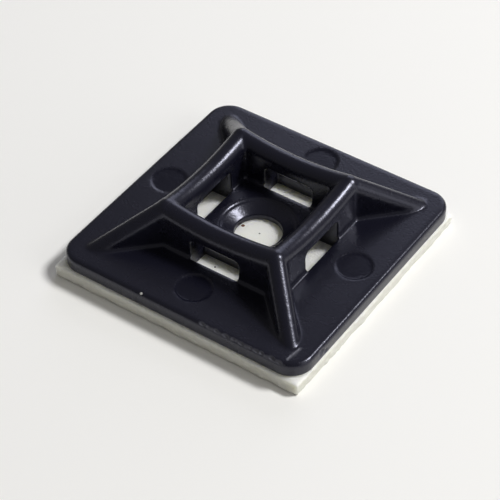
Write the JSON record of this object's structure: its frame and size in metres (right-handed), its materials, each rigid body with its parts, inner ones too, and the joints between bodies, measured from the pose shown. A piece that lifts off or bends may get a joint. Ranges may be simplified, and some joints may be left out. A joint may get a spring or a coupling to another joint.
{
  "type": "cable tie mount",
  "caption": "Square stick-on cable tie mount: a moulded body with a raised tie frame, corner legs, tie tunnels and a countersunk screw hole, on an adhesive foam pad.",
  "frame": {"origin": "on the axis of the screw hole, at the sticking face of the foam pad", "axes": "+Z away from the surface the mount sticks to, along the screw hole; X and Y along the sides of the square plate and along the two tie passages"},
  "size_m": [0.0202, 0.0203, 0.0055],
  "materials": {
    "black_nylon": "satin",
    "white_foam": "matte"
  },
  "bodies": {
    "root": {"mount_body": "black_nylon", "foam_pad": "white_foam"}
  },
  "joints": []
}
